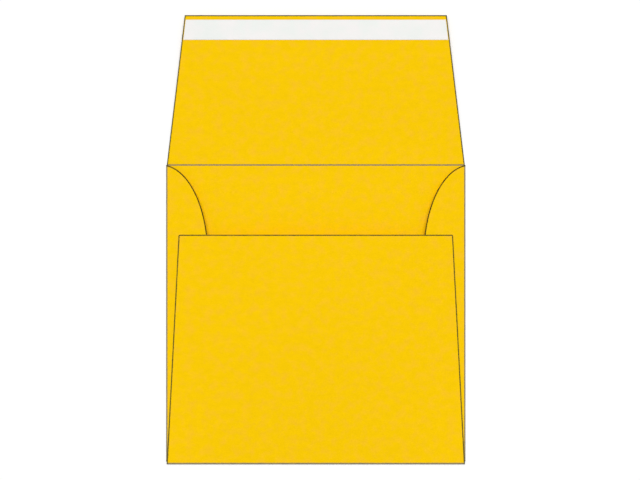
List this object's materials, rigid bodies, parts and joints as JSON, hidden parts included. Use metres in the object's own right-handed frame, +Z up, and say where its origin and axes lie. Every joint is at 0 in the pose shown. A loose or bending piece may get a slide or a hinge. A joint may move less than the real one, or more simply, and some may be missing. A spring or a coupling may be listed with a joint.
{
  "type": "square envelope",
  "caption": "Square yellow paper envelope lying seam side up, its flap open with a release strip, curved side flaps under a deep bottom flap and a gaping pocket.",
  "frame": {"origin": "middle of the square address face, on its outside, on the surface that the envelope lies on", "axes": "+Y towards the open flap, +X to the right as seen from the seam side, +Z up from the address face"},
  "size_m": [0.16, 0.2399, 0.008],
  "materials": {
    "yellow_paper": "uncoated",
    "dried_gum": "satin",
    "seal_adhesive": "tacky",
    "liner_paper": "siliconised"
  },
  "bodies": {
    "root": {"envelope_blank": "yellow_paper", "seam_gum_left": "dried_gum", "seam_gum_right": "dried_gum", "seal_adhesive": "seal_adhesive", "release_liner": "liner_paper"}
  },
  "joints": []
}
